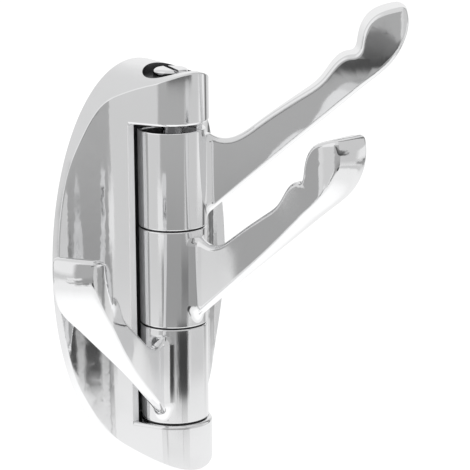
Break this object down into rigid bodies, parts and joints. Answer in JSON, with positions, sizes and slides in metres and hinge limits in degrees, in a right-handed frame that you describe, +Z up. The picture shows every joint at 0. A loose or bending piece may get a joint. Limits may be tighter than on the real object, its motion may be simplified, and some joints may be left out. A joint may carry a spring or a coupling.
{
  "type": "swivel wall hook",
  "caption": "Chrome wall hook with sculpted arms that swing side to side on one upright pin held in a tall oval base with a bell-shaped section.",
  "frame": {"origin": "on the wall plane, midway between the two wall screws, on the base's centre line", "axes": "+X to the viewer's right, +Y into the wall, +Z up along the pin"},
  "size_m": [0.1053, 0.0744, 0.1193],
  "materials": {
    "base_casting": "polished chrome plate on a zinc casting",
    "arm_casting": "polished chrome plate on a zinc casting",
    "pin_steel": "bright plated steel",
    "washer_plastic": "black nylon"
  },
  "bodies": {
    "base": {"base": "base_casting", "pivot_pin": "pin_steel", "lower_washer": "washer_plastic", "middle_washer": "washer_plastic", "upper_washer": "washer_plastic"},
    "upper_arm": {"upper_arm": "arm_casting"},
    "middle_arm": {"middle_arm": "arm_casting"},
    "lower_arm": {"lower_arm": "arm_casting"}
  },
  "joints": [
    {"name": "upper_swivel", "type": "hinge", "parent": "base", "child": "upper_arm", "pos_m": [0, -0.0153, 0.0242], "axis": [0, 0, 1], "range_deg": [-146, 34]},
    {"name": "middle_swivel", "type": "hinge", "parent": "base", "child": "middle_arm", "pos_m": [0, -0.0153, -0.0011], "axis": [0, 0, 1], "range_deg": [-100, 80]},
    {"name": "lower_swivel", "type": "hinge", "parent": "base", "child": "lower_arm", "pos_m": [0, -0.0153, -0.0264], "axis": [0, 0, 1], "range_deg": [-30, 150]}
  ]
}
